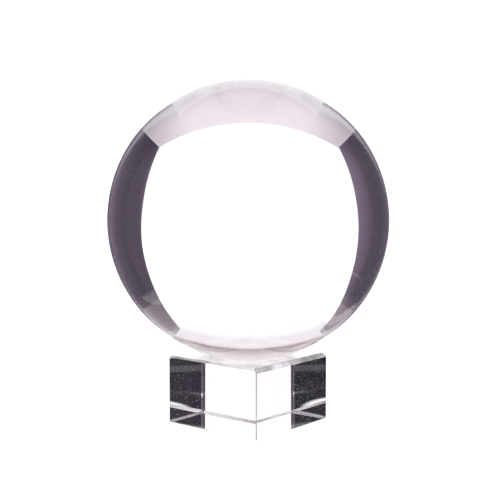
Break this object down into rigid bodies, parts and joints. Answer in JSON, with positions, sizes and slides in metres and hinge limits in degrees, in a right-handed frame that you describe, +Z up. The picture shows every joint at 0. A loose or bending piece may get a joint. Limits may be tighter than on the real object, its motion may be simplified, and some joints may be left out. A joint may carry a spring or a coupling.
{
  "type": "crystal ball",
  "caption": "Solid clear glass ball resting loose in the concave seat of a low square bevelled clear glass block stand.",
  "frame": {"origin": "centre of the stand's underside, on the surface that it stands on, straight below the ball's centre", "axes": "+Z up; the stand's sides face +X, -X, +Y and -Y; the corner between -Y and +X faces the viewer"},
  "size_m": [0.08, 0.08, 0.098],
  "materials": {
    "ball_glass": "polished clear optical glass",
    "stand_glass": "cut clear glass with ground bevels"
  },
  "bodies": {
    "stand": {"glass_stand": "stand_glass"},
    "ball": {"crystal_ball": "ball_glass"}
  },
  "joints": [
    {"name": "ball_lift", "type": "slide", "parent": "stand", "child": "ball", "axis": [0, 0, 1], "range_m": [0, 0.06]}
  ]
}
